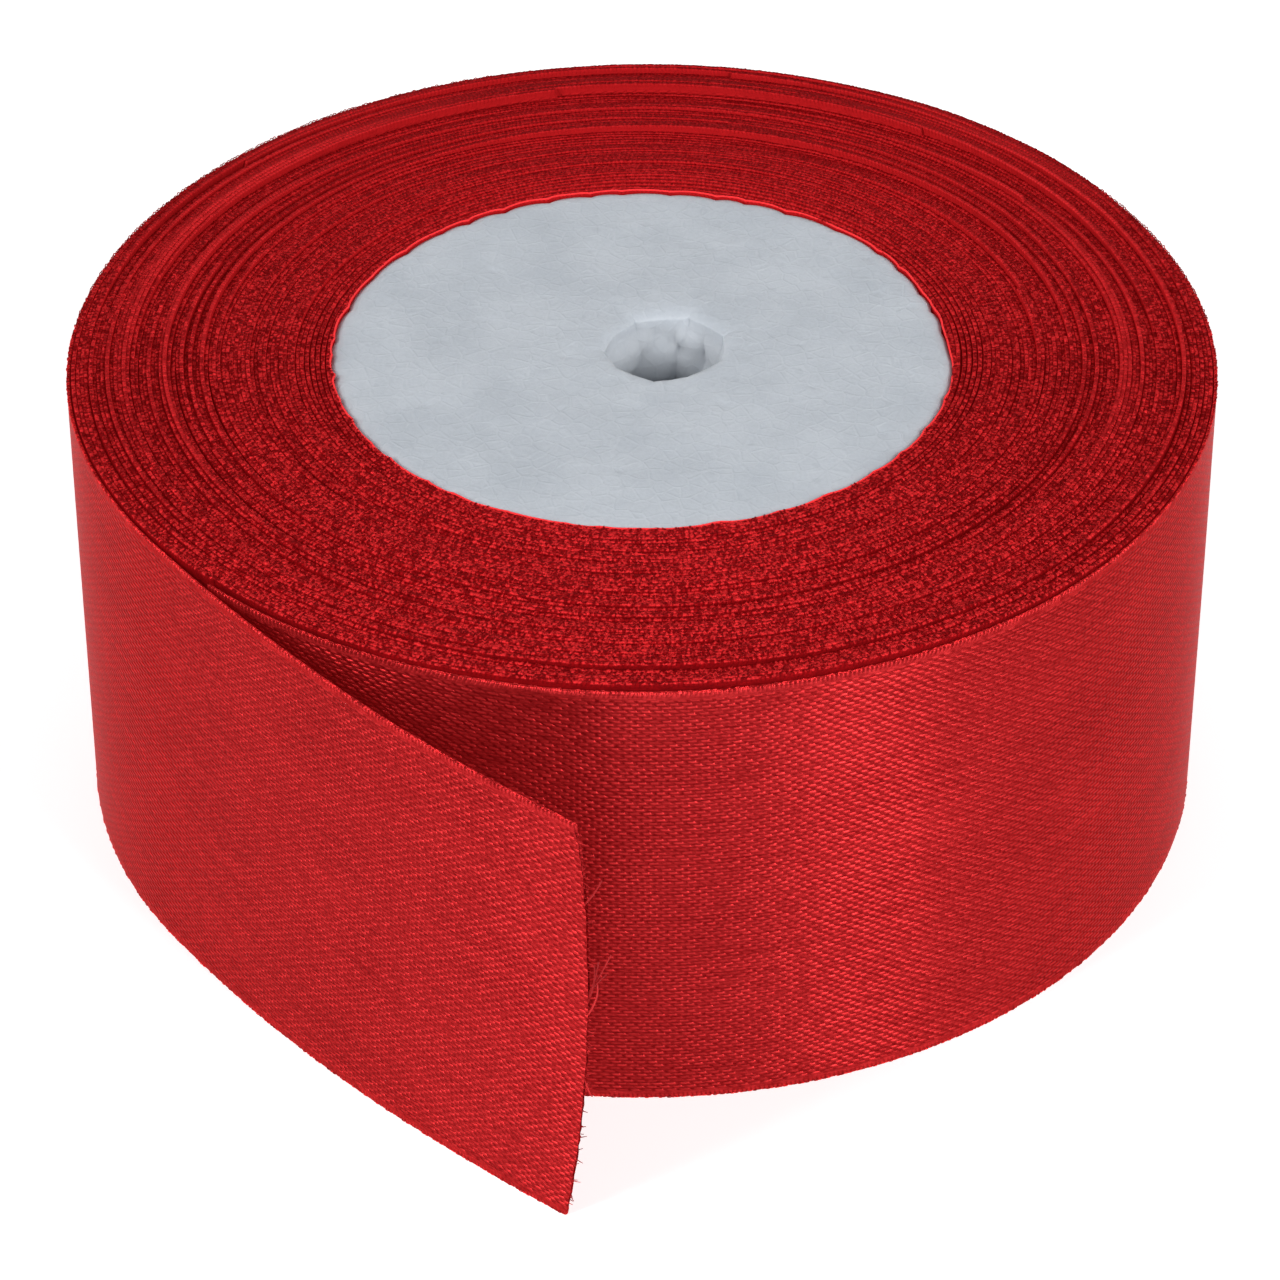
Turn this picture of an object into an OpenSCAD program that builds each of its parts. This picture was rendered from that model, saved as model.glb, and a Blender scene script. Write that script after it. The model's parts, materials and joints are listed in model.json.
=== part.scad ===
// A roll of satin ribbon wound on a foam disc, lying flat, with its free tail peeled off the side.
// The origin is the centre of the spindle bore at the bottom face. +Z runs up the bore, which was
// punched a little off the roll's own centre.
// The ribbon is one strip. It is built as bands of laps, its loose last lap and its two tail lengths,
// so that what turns and what bends are solids of their own.

/* [Ribbon] */
// Width of the ribbon, which is the height of the roll
ribbon_w = 25.4; // [24:0.1:27]
// Length of ribbon on the roll, in metres
ribbon_length_m = 9.14; // [8:0.01:10]
// Thickness of one lap as wound
lap_t = 0.219; // [0.2:0.001:0.24]

/* [Foam core] */
// Diameter of the foam core
core_d = 32.4; // [30:0.1:34]
// Diameter of the spindle bore punched through the core
bore_d = 6.3; // [4:0.1:10]
// How far right of the roll's own centre the bore was punched
bore_right = 1.2; // [0:0.1:2]
// How far behind the roll's own centre the bore was punched
bore_back = 0.5; // [0:0.1:2]
// How far the foam stops short of the ribbon's upper edge
core_drop = 0.2; // [0:0.1:1]

/* [Starting tape] */
// Width of the tape that holds the ribbon's start, measured along the bore
tape_w = 12; // [8:1:18]
// Length of the tape round the core
tape_len = 15; // [10:1:30]
// Thickness of the tape
tape_t = 0.1; // [0.05:0.01:0.15]

/* [Windings] */
// Height by which each band of laps stands proud of the rest face, from the core outwards
band_lift = [0, 0, 0.3, 0.1, 0.5, 0.2, 0.4, 0]; // [0:0.1:1]
// Radial clearance between the windings and the loose last lap
lap_clearance = 0.08; // [0.05:0.01:0.1]
// Angle of bare roll between the last lap's start and its peel line
lap_start_gap = 10; // [5:1:20]

/* [Tail] */
// Angle round the roll of the line where the tail peels off
peel_angle = -145.3; // [-170:0.1:-120]
// Free length of the tail, from its peel line to the cut end
tail_len = 31.7; // [24:0.1:38]
// Radius of the tail's own gentle curve
tail_curve_r = 100; // [80:5:300]
// Share of the tail's length at which it flexes
flex_share = 0.5; // [0.35:0.05:0.65]
// Gap left at each of the tail's two bend lines
bend_gap = 0.3; // [0.3:0.05:0.5]

/* [Hidden] */
$fn = 180;

satin_red = [0.70, 0.04, 0.07];
satin_red_shade = [0.60, 0.03, 0.05];
foam_white = [0.90, 0.92, 0.94];
tape_clear = [0.85, 0.82, 0.72];

degrees_per_radian = 180 / PI;
core_r = core_d / 2;
core_h = ribbon_w - core_drop;
// The wound area, ribbon length times lap thickness, sets how far the roll grows past its core.
roll_r = sqrt(pow(core_r, 2) + ribbon_length_m * 1000 * lap_t / PI);
last_lap_r = roll_r - lap_t;
windings_r = last_lap_r - lap_clearance;
first_lap_r = core_r + tape_t;
band_t = (windings_r - first_lap_r) / len(band_lift);
bend_line_r = roll_r - lap_t / 2;
flex_s = tail_len * flex_share;

// The angle that an arc of the given length and radius turns through.
function arc_angle(arc_length, radius) = arc_length / radius * degrees_per_radian;

// Moves what is built round +Z to the roll's own centre line.
module on_roll_centre() {
    translate([-bore_right, -bore_back, 0])
        children();
}

// A wall standing on an arc round +Z: inner radius, thickness, foot height, wall height, sweep.
module curved_wall(inner_r, t, foot_z, h, sweep = 360) {
    rotate_extrude(angle = sweep)
        translate([inner_r, foot_z])
            square([t, h]);
}

// One band of tightly wound laps, counted from the core.
module winding_band(index) {
    color(index % 2 == 0 ? satin_red : satin_red_shade)
        on_roll_centre() curved_wall(first_lap_r + index * band_t, band_t, band_lift[index], ribbon_w);
}

// A length of the tail between two distances from the peel line. The tail leaves the roll along
// its tangent and bends the same way as the roll does, round a far centre beyond the roll's own.
module tail_strip(from_s, to_s) {
    on_roll_centre()
        rotate([0, 0, peel_angle])
            translate([bend_line_r - tail_curve_r, 0, 0])
                rotate([0, 0, arc_angle(from_s, tail_curve_r)])
                    curved_wall(tail_curve_r - lap_t / 2, lap_t, 0, ribbon_w,
                                arc_angle(to_s - from_s, tail_curve_r));
}

module foam_core() {
    color(foam_white)
        difference() {
            on_roll_centre() cylinder(h = core_h, r = core_r);
            translate([0, 0, -1])
                cylinder(h = core_h + 2, r = bore_d / 2);
        }
}

module start_tape() {
    sweep = arc_angle(tape_len, core_r);
    color(tape_clear)
        on_roll_centre() rotate([0, 0, peel_angle - sweep / 2])
            curved_wall(core_r, tape_t, (core_h - tape_w) / 2, tape_w, sweep);
}

module winding_band_1() { winding_band(0); }
module winding_band_2() { winding_band(1); }
module winding_band_3() { winding_band(2); }
module winding_band_4() { winding_band(3); }
module winding_band_5() { winding_band(4); }
module winding_band_6() { winding_band(5); }
module winding_band_7() { winding_band(6); }
module winding_band_8() { winding_band(7); }

module outer_lap() {
    end_angle = peel_angle - arc_angle(bend_gap / 2, roll_r);
    sweep = 360 - lap_start_gap;
    color(satin_red)
        on_roll_centre() rotate([0, 0, end_angle - sweep])
            curved_wall(last_lap_r, lap_t, 0, ribbon_w, sweep);
}

module tail_root() {
    color(satin_red)
        tail_strip(bend_gap / 2, flex_s - bend_gap / 2);
}

module tail_end() {
    color(satin_red)
        tail_strip(flex_s + bend_gap / 2, tail_len);
}

foam_core();
start_tape();
winding_band_1();
winding_band_2();
winding_band_3();
winding_band_4();
winding_band_5();
winding_band_6();
winding_band_7();
winding_band_8();
outer_lap();
tail_root();
tail_end();
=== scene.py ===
"""A roll of red satin ribbon on a foam disc, lying flat, with its free tail peeled off the side.

The ribbon is built over its CAD frame as one strip: eight bands of tight laps, the loose last lap and
the tail, in two lengths. Every piece is a surface worked out over whole arrays. Sizes are in metres.
On the ribbon's surface, u is the length along it and v the height across it, both in millimetres; v is
negative on the dull back of the satin.
"""

import json
import logging
import math
from dataclasses import dataclass, field
from enum import Enum
from typing import Callable, Sequence

import bpy
import numpy as np
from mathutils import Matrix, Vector

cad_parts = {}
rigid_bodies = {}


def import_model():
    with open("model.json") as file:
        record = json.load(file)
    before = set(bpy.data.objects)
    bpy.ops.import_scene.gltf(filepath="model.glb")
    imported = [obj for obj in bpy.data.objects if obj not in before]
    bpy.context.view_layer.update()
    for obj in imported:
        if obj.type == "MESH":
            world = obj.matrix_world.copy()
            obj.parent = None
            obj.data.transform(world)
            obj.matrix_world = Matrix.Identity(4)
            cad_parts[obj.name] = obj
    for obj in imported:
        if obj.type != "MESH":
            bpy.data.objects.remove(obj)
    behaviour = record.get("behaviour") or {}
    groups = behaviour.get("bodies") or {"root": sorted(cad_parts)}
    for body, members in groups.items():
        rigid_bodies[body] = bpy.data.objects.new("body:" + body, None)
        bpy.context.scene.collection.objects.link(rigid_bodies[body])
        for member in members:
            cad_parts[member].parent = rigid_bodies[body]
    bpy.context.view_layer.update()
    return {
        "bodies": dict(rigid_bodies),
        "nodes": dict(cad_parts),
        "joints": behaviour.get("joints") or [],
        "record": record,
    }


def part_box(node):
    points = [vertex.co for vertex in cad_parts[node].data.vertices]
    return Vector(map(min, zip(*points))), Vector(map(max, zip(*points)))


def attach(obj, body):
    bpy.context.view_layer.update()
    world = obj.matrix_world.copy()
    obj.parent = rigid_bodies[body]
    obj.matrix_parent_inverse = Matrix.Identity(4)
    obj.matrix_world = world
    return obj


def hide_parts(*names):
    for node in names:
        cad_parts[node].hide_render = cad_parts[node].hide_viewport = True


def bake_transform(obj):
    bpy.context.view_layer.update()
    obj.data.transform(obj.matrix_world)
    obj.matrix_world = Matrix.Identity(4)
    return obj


LOG = logging.getLogger("ribbon_spool")
MM = 0.001
Array = np.ndarray
Colour = tuple[float, float, float]


# ---------------------------------------------------------------- numbers that wander

def smooth_step(low: float, high: float, value: Array) -> Array:
    """Rises from 0 at low to 1 at high, level at both ends."""
    share = np.clip((value - low) / (high - low), 0.0, 1.0)
    return share * share * (3.0 - 2.0 * share)


def line_noise(position: Array, seed: int) -> Array:
    """Smooth noise on a line: random heights at whole positions, joined by smooth steps.

    Args:
        position: Where to read the noise. One unit is one bump.
        seed: Which noise it is.

    Returns:
        Values from -1 to 1.
    """
    heights = np.random.default_rng(seed).uniform(-1.0, 1.0, 4096)
    cell = np.floor(position).astype(int)
    share = position - cell
    share = share * share * (3.0 - 2.0 * share)
    return heights[cell % 4096] * (1.0 - share) + heights[(cell + 1) % 4096] * share


def ring_noise(position: Array, angle: Array, patches: int, seed: int) -> Array:
    """Smooth noise on a disc: random heights on a grid of radius and angle, closed round the circle.

    Args:
        position: Radius, in cells.
        angle: Angle, in radians.
        patches: How many cells go round the circle.
        seed: Which noise it is.

    Returns:
        Values from -1 to 1.
    """
    heights = np.random.default_rng(seed).uniform(-1.0, 1.0, (256, patches))
    across = position
    round_ = angle / (2.0 * math.pi) * patches
    row, column = np.floor(across).astype(int), np.floor(round_).astype(int)
    fa, fb = across - row, round_ - column
    fa, fb = fa * fa * (3.0 - 2.0 * fa), fb * fb * (3.0 - 2.0 * fb)
    total = 0.0
    for step_a, part_a in ((0, 1.0 - fa), (1, fa)):
        for step_b, part_b in ((0, 1.0 - fb), (1, fb)):
            total = total + heights[(row + step_a) % 256, (column + step_b) % patches] * part_a * part_b
    return total


def wrapped(angle: Array) -> Array:
    """An angle in radians, brought to between -pi and pi."""
    return (angle + math.pi) % (2.0 * math.pi) - math.pi


# ---------------------------------------------------------------- mesh from arrays

@dataclass
class Shell:
    """Points and faces gathered from arrays, made into one mesh at the end."""

    points: list[Array] = field(default_factory=list)
    faces: list[Array] = field(default_factory=list)
    marks: list[Array] = field(default_factory=list)
    smooth: list[bool] = field(default_factory=list)
    count: int = 0

    def add_points(self, points: Array) -> int:
        """Adds points, and returns the index of the first."""
        first = self.count
        self.points.append(points.reshape(-1, 3))
        self.count += len(self.points[-1])
        return first

    def add_faces(self, faces: Array, marks: Array, smooth: bool = True) -> None:
        """Adds faces with the same number of corners.

        Args:
            faces: Indices of the corners, one row a face.
            marks: u and v of each corner.
            smooth: Whether light is smoothed over them.
        """
        self.faces.append(faces)
        self.marks.append(marks.reshape(faces.shape + (2,)))
        self.smooth.append(smooth)

    def make(self, name: str, material: bpy.types.Material) -> bpy.types.Object:
        """Makes the mesh and its object.

        Args:
            name: The piece's name.
            material: Its finish.

        Returns:
            The object, at the origin, with its place in its mesh.
        """
        corners = np.concatenate([f.ravel() for f in self.faces]).astype(np.int32)
        sizes = np.concatenate([np.full(len(f), f.shape[1]) for f in self.faces])
        starts = np.concatenate([[0], np.cumsum(sizes)[:-1]]).astype(np.int32)
        shading = np.concatenate([np.full(len(f), s) for f, s in zip(self.faces, self.smooth)])
        mesh = bpy.data.meshes.new(name)
        mesh.vertices.add(self.count)
        mesh.vertices.foreach_set("co", np.concatenate(self.points).astype(np.float32).ravel())
        mesh.loops.add(len(corners))
        mesh.loops.foreach_set("vertex_index", corners)
        mesh.polygons.add(len(starts))
        mesh.polygons.foreach_set("loop_start", starts)
        mesh.polygons.foreach_set("use_smooth", shading)
        layer = mesh.uv_layers.new(name="ribbon")
        layer.data.foreach_set("uv", np.concatenate([m.ravel() for m in self.marks]).astype(np.float32))
        mesh.update(calc_edges=True)
        mesh.validate()
        piece = bpy.data.objects.new(name, mesh)
        bpy.context.scene.collection.objects.link(piece)
        piece.data.materials.append(material)
        return piece


def grid_faces(rows: int, columns: int, first: int, closed: bool) -> Array:
    """Four-cornered faces between the points of a grid that are next to each other.

    Args:
        rows: Number of rows of points.
        columns: Number of points in a row.
        first: Index of the grid's first point.
        closed: Whether a row's last point joins its first.

    Returns:
        Corner indices, one row a face. A face turns from row to row + 1 and then to column + 1.
    """
    row = np.arange(rows - 1)[:, None]
    column = np.arange(columns if closed else columns - 1)[None, :]
    after = (column + 1) % columns
    corners = (row * columns + column, (row + 1) * columns + column,
               (row + 1) * columns + after, row * columns + after)
    return np.stack(np.broadcast_arrays(*corners), axis=-1).reshape(-1, 4) + first


def add_ribbon(shell: Shell, middle: Array, outward: Array, height: Array, half: Array,
               length: Array, mark: Array) -> None:
    """Adds a closed length of ribbon: its section carried along a line that may lean.

    The section runs up the outer face, over the upper edge, down the inner face and under the lower
    edge. Each row of the section has its own height and thickness, so the edges can be rounded.

    Args:
        shell: What it is added to.
        middle: Plan position of the ribbon's middle surface, stations by rows by 2.
        outward: Unit direction to the satin face, stations by 2.
        height: Height of each point, stations by rows.
        half: Half the thickness, for each row.
        length: u of each point, in metres, stations by rows.
        mark: v of each row, in metres.
    """
    stations, rows = height.shape
    side = outward[:, None, :] * np.broadcast_to(half, (stations, rows))[:, :, None]
    outer = np.dstack([middle + side, height])
    inner = np.dstack([middle - side, height])[:, ::-1]
    first = shell.add_points(np.concatenate([outer, inner], axis=1))
    columns = 2 * rows
    faces = grid_faces(stations, columns, first, closed=True)

    u = np.concatenate([length, length[:, ::-1]], axis=1) / MM
    # v at each face's lower and upper column: up the face, level over the edge, down the back and
    # level below.
    low = np.concatenate([mark, -mark[::-1]])
    v_here = low.copy()
    v_next = np.roll(low, -1)
    v_next[rows - 1] = mark[-1]
    v_here[columns - 1], v_next[columns - 1] = mark[0], mark[0]
    following = (np.arange(columns) + 1) % columns
    marks = np.empty((stations - 1, columns, 4, 2))
    marks[..., 0, 0], marks[..., 1, 0] = u[:-1], u[1:]
    marks[..., 2, 0], marks[..., 3, 0] = u[1:][:, following], u[:-1][:, following]
    marks[..., 0, 1] = marks[..., 1, 1] = v_here / MM
    marks[..., 2, 1] = marks[..., 3, 1] = v_next / MM
    shell.add_faces(faces, marks)

    ring = np.arange(columns)
    last = first + (stations - 1) * columns
    caps = np.stack([first + ring, last + ring[::-1]])
    ends = np.stack([u[0], u[-1][::-1]])
    level = np.stack([np.abs(low), np.abs(low[::-1])]) / MM
    shell.add_faces(caps, np.dstack([ends, level]), smooth=False)


def add_threads(shell: Shell, lines: Array, radius: Array, sides: int, mark: Array) -> None:
    """Adds fine threads: tubes of few sides round short lines, closed at both ends.

    Args:
        shell: What they are added to.
        lines: Threads by points by 3, with the same number of points in each.
        radius: Half a thread's thickness at each point along it.
        sides: Number of sides of the tube.
        mark: u and v of each thread, in millimetres.
    """
    threads, points, _ = lines.shape
    along = np.gradient(lines, axis=1)
    along /= np.linalg.norm(along, axis=2, keepdims=True) + 1e-12
    away = np.cross(along, np.array([0.31, 0.17, 0.93]))
    away /= np.linalg.norm(away, axis=2, keepdims=True) + 1e-12
    third = np.cross(along, away)
    turn = np.arange(sides) / sides * 2.0 * math.pi
    ring = (away[:, :, None, :] * np.cos(turn)[None, None, :, None]
            + third[:, :, None, :] * np.sin(turn)[None, None, :, None])
    tube = lines[:, :, None, :] + ring * radius[None, :, None, None]
    first = shell.add_points(tube)
    one = grid_faces(points, sides, 0, closed=True)[:, ::-1]
    offsets = first + np.arange(threads) * points * sides
    faces = (offsets[:, None, None] + one[None]).reshape(-1, 4)
    marks = np.repeat(mark, len(one) * 4, axis=0)
    shell.add_faces(faces, marks)
    ends = np.stack([np.arange(sides)[::-1], (points - 1) * sides + np.arange(sides)])[:, ::-1]
    caps = (offsets[:, None, None] + ends[None]).reshape(-1, sides)
    shell.add_faces(caps, np.repeat(mark, 2 * sides, axis=0))


# ---------------------------------------------------------------- shader graphs

class Value:
    """A number that flows between shader nodes. Sums and products of it add Math nodes."""

    def __init__(self, shader: "Shader", socket: bpy.types.NodeSocket) -> None:
        """Keeps the shader that it belongs to and the socket that it comes out of."""
        self.shader = shader
        self.socket = socket

    def math(self, operation: str, *others: "Value | float") -> "Value":
        """The result of a Math node on this number and the others."""
        return self.shader.math(operation, self, *others)

    def __add__(self, other: "Value | float") -> "Value":
        """Sum."""
        return self.math("ADD", other)

    def __sub__(self, other: "Value | float") -> "Value":
        """Difference."""
        return self.math("SUBTRACT", other)

    def __mul__(self, other: "Value | float") -> "Value":
        """Product."""
        return self.math("MULTIPLY", other)

    def __truediv__(self, other: "Value | float") -> "Value":
        """Quotient."""
        return self.math("DIVIDE", other)

    def __radd__(self, other: float) -> "Value":
        """Sum, with a plain number first."""
        return self.shader.math("ADD", other, self)

    def __rsub__(self, other: float) -> "Value":
        """Difference, with a plain number first."""
        return self.shader.math("SUBTRACT", other, self)

    def __rmul__(self, other: float) -> "Value":
        """Product, with a plain number first."""
        return self.shader.math("MULTIPLY", other, self)

    def __rtruediv__(self, other: float) -> "Value":
        """Quotient, with a plain number first."""
        return self.shader.math("DIVIDE", other, self)

    def clamped(self) -> "Value":
        """This number, kept between 0 and 1."""
        return self.math("MAXIMUM", 0.0).math("MINIMUM", 1.0)

    def rise(self, low: float, high: float) -> "Value":
        """0 below low and 1 above high, straight between. high may be the smaller, to fall."""
        return ((self - low) * (1.0 / (high - low))).clamped()


class Shader:
    """A material's node graph, with one Principled surface."""

    def __init__(self, name: str) -> None:
        """Starts a material of that name with an empty graph."""
        self.material = bpy.data.materials.new(name)
        self.material.use_nodes = True
        self.tree = self.material.node_tree
        self.tree.nodes.clear()
        self.surface = self.node("ShaderNodeBsdfPrincipled")
        output = self.node("ShaderNodeOutputMaterial")
        self.tree.links.new(self.surface.outputs[0], output.inputs[0])

    def node(self, kind: str, settings: dict | None = None,
             sockets: dict | None = None) -> bpy.types.Node:
        """Adds one node.

        Args:
            kind: The node's type.
            settings: Its own settings, which are set first.
            sockets: Values or links of its inputs, by name or by index.

        Returns:
            The node.
        """
        node = self.tree.nodes.new(kind)
        for key, value in (settings or {}).items():
            setattr(node, key, value)
        for key, value in (sockets or {}).items():
            self.feed(node.inputs[key], value)
        return node

    def feed(self, socket: bpy.types.NodeSocket, value: object) -> None:
        """Links a value to a socket, or sets the socket to a plain number or colour."""
        if isinstance(value, Value):
            self.tree.links.new(value.socket, socket)
        elif isinstance(value, bpy.types.NodeSocket):
            self.tree.links.new(value, socket)
        elif isinstance(value, tuple) and socket.type == "RGBA":
            socket.default_value = (*value[:3], 1.0)
        else:
            socket.default_value = value

    def math(self, operation: str, *terms: "Value | float") -> Value:
        """The result of a Math node on the given terms."""
        node = self.node("ShaderNodeMath", {"operation": operation}, dict(enumerate(terms)))
        return Value(self, node.outputs[0])

    def mix(self, factor: "Value | float", first: object, second: object) -> bpy.types.NodeSocket:
        """A colour that goes from first to second as factor goes from 0 to 1."""
        node = self.node("ShaderNodeMix", {"data_type": "RGBA"}, {0: factor, 6: first, 7: second})
        return node.outputs[2]

    def noise(self, vector: bpy.types.NodeSocket, scale: float, detail: float = 2.0) -> Value:
        """Smooth noise from 0 to 1 over a position."""
        node = self.node("ShaderNodeTexNoise", {"noise_dimensions": "3D"},
                         {"Vector": vector, "Scale": scale, "Detail": detail})
        return Value(self, node.outputs[0])

    def position(self) -> bpy.types.NodeSocket:
        """The place on the object, in metres."""
        return self.node("ShaderNodeTexCoord").outputs["Object"]

    def ribbon_marks(self) -> tuple[Value, Value]:
        """u and v on the ribbon, in millimetres."""
        uv = self.node("ShaderNodeUVMap", {"uv_map": "ribbon"})
        parts = self.node("ShaderNodeSeparateXYZ", sockets={0: uv.outputs[0]})
        return Value(self, parts.outputs[0]), Value(self, parts.outputs[1])

    def vector(self, x: "Value | float", y: "Value | float",
               z: "Value | float" = 0.0) -> bpy.types.NodeSocket:
        """A position made of three numbers."""
        return self.node("ShaderNodeCombineXYZ", sockets={0: x, 1: y, 2: z}).outputs[0]

    def bump(self, height: Value, depth: float) -> None:
        """Roughens the surface by a height from 0 to 1 that stands for a depth in metres."""
        node = self.node("ShaderNodeBump",
                         sockets={"Height": height, "Distance": depth, "Strength": 1.0})
        self.feed(self.surface.inputs["Normal"], node.outputs[0])

    def dress(self, **sockets: object) -> None:
        """Feeds the surface's sockets. An underscore in a name stands for a space."""
        for key, value in sockets.items():
            self.feed(self.surface.inputs[key.replace("_", " ")], value)


# ---------------------------------------------------------------- finishes

@dataclass(frozen=True)
class SatinFinish:
    """Single-face satin: rows of short lengthwise floats, a stitched selvedge and a dull back.

    Pitches, lengths, the selvedge's width and the height from which laps stand proud are in
    millimetres. painted_glint is the colour of the highlights painted on the laps' edges and loops;
    painted_glow is a faint even glow painted into the cloth, which lightens its shade.
    """

    name: str
    width: float
    face: Colour = (0.62, 0.034, 0.037)
    shade: Colour = (0.13, 0.003, 0.004)
    painted_glint: Colour = (0.98, 0.045, 0.050)
    back: Colour = (0.42, 0.010, 0.012)
    row_pitch: float = 0.205
    float_length: float = 0.62
    float_shift: float = 0.5
    float_slant: float = -0.10
    loop_pitch: float = 0.23
    selvedge: float = 0.46
    relief: float = 0.075 * MM
    roughness: float = 0.34
    metal: float = 0.60
    stretch: float = 0.80
    grain: float = 1.05
    gloss: float = 0.05
    painted_glow: float = 0.05
    proud: float = 26.05

    def material(self) -> bpy.types.Material:
        """The finish as a material.

        A float is a rounded dash: 1 - a^2 across its row and 1 - (b / 0.8)^4 along it, where a and b go
        from -1 to 1. Each row starts half a float further on than the one below, and floats slant.
        """
        shader = Shader(self.name)
        u, v = shader.ribbon_marks()
        height = v.math("ABSOLUTE")
        is_face = v.math("GREATER_THAN", 0.0)
        rows = height / self.row_pitch
        row = rows.math("FLOOR")
        drift = shader.noise(shader.vector(u * 0.35, height * 1.3), 1.0)
        across = rows.math("FRACT") * 2.0 - 1.0
        place = u / self.float_length + row * self.float_shift - across * self.float_slant + drift * 0.9
        along = (place.math("FRACT") * 2.0 - 1.0) * (1.0 / 0.8)
        floats = ((1.0 - across * across) * (1.0 - (along * along) * (along * along))).clamped()
        dash = shader.node("ShaderNodeTexWhiteNoise", {"noise_dimensions": "2D"},
                           {"Vector": shader.vector(place.math("FLOOR"), row)})
        chance = Value(shader, dash.outputs["Value"])

        width = self.width / MM
        inset = height.math("MINIMUM", width - height)
        at_selvedge = inset.rise(self.selvedge + 0.06, self.selvedge - 0.06)
        loops = (u * (math.pi / self.loop_pitch) + inset * 2.0).math("SINE").math("ABSOLUTE")
        stitched = 0.50 + (loops - 0.5) * inset.rise(0.36, 0.08) * 0.9
        relief = floats * (1.0 - at_selvedge) + stitched * at_selvedge

        streaks = shader.noise(shader.vector(u * 0.10, height * 5.0), 1.0, 3.0)
        blotches = shader.noise(shader.vector(u * 0.16, height * 0.16), 1.0, 2.0)
        fibre = shader.noise(shader.vector(u * 3.2, height * 9.0), 1.0, 1.0)
        # The tone is partly the yarn's own streaks, fibres and blotches and partly painted light:
        # raised floats and selvedge stitches are painted lighter, as painted sheen, and the gaps
        # between them darker, as painted shade.
        weave_and_sheen = (relief * (0.20 + chance * 0.50) - 0.18
                 + (streaks - 0.5) * 0.5 + (fibre - 0.5) * 0.7) * self.grain
        tone = (0.36 + (blotches - 0.5) * 0.2 + weave_and_sheen).clamped()

        crown = inset.rise(0.10, 0.02)
        place = shader.position()
        parts = shader.node("ShaderNodeSeparateXYZ", sockets={0: place})
        aside, back, level = (Value(shader, socket) / MM for socket in parts.outputs)
        knots = shader.noise(shader.vector(u / self.loop_pitch * 1.1, 0.0, 3.7), 1.0, 1.0)
        specks = shader.noise(place, 6500.0, 1.0)
        # Painted highlights on the laps' upper edges: flecks of glint colour, fewer at the back, where
        # the loops lie flat, and on laps that stand proud the whole edge is painted bright, most of all
        # on the left and on the right, as if the side lights caught it.
        lively = 0.30 + 0.70 * back.rise(20.0, 2.0)
        fleck_glints = (knots * 0.5 + specks * 0.5).rise(0.47, 0.57) * lively
        beside = aside.math("ABSOLUTE").rise(9.0, 21.0)
        proud_edge_glint = level.rise(self.proud - 0.30, self.proud) * beside * 0.75
        glint_mask = fleck_glints.math("MAXIMUM", proud_edge_glint) * crown

        front = shader.mix(tone, self.shade, self.face)
        dull = shader.mix(tone, tuple(0.75 * c for c in self.back), self.back)
        cloth = shader.mix(is_face, dull, front)
        # Painted highlight: the glint colour is laid into the base colour over the glint mask.
        colour = shader.mix(glint_mask * 0.9, cloth, self.painted_glint)
        dullness = self.roughness + (1.0 - is_face) * 0.22 + (fibre - 0.5) * 0.12
        # Painted glow: the emission makes the cloth glow faintly red, which lightens its shade.
        shader.dress(Base_Color=colour, Metallic=is_face * self.metal, Roughness=dullness.clamped(),
                     IOR=1.42, Specular_IOR_Level=self.gloss, Specular_Tint=(1.0, 0.03, 0.03),
                     Emission_Color=(1.0, 0.012, 0.016), Emission_Strength=self.painted_glow)
        if self.stretch:
            # The floats lie along the ribbon, so they spread the light up and down it.
            lengthwise = shader.node("ShaderNodeTangent",
                                     {"direction_type": "UV_MAP", "uv_map": "ribbon"})
            shader.dress(Anisotropic=self.stretch, Anisotropic_Rotation=0.25,
                         Tangent=lengthwise.outputs[0])
        shader.bump(relief * (0.40 + chance * 0.45) + fibre * 0.12, self.relief)
        return shader.material


@dataclass(frozen=True)
class FoamFinish:
    """Closed-cell white foam, cut with a blade: faint cells, fine grain and a few dark pores."""

    name: str
    top: float
    body: Colour = (0.52, 0.555, 0.60)
    dim: Colour = (0.455, 0.49, 0.535)
    pore: Colour = (0.42, 0.455, 0.50)
    torn: Colour = (0.54, 0.57, 0.61)
    hole_radius: float = 4.0 * MM
    cell: float = 0.9 * MM

    def material(self) -> bpy.types.Material:
        """The finish as a material."""
        shader = Shader(self.name)
        place = shader.position()
        clouds = shader.noise(place, 260.0, 3.0)
        grain = shader.noise(place, 5200.0, 2.0)
        cells = shader.node("ShaderNodeTexVoronoi", {"feature": "DISTANCE_TO_EDGE"},
                            {"Vector": place, "Scale": 1.0 / self.cell, "Randomness": 1.0})
        walls = Value(shader, cells.outputs[0]).rise(0.10, 0.0)
        specks = shader.noise(place, 1500.0, 0.0).rise(0.74, 0.80)
        tone = (clouds - 0.5) * 2.6 + 0.5 + (grain - 0.5) * 1.2 + walls * 0.14
        shade = shader.mix(tone.clamped(), self.dim, self.body)
        parts = shader.node("ShaderNodeSeparateXYZ", sockets={0: place})
        x, y, z = (Value(shader, socket) for socket in parts.outputs)
        from_axis = (x * x + y * y).math("SQRT")
        # The hole's wall below the top is painted the plain torn colour, a little lighter than the
        # mottled top: partly the torn cells' own look, partly painted light standing for light that the
        # foam lets into the hole.
        near_hole = from_axis.rise(self.hole_radius, self.hole_radius - 0.3 * MM)
        inside = near_hole * z.rise(self.top, self.top - 1.0 * MM)
        skin = shader.mix(specks * 0.4, shade, self.pore)
        shader.dress(Base_Color=shader.mix(inside, skin, self.torn), Roughness=0.82, IOR=1.35,
                     Subsurface_Weight=0.60, Subsurface_Radius=(1.0, 1.0, 1.0),
                     Subsurface_Scale=1.2 * MM)
        shader.bump(grain * 0.35 + clouds * 0.35 + walls * 0.3, 0.05 * MM)
        return shader.material


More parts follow.
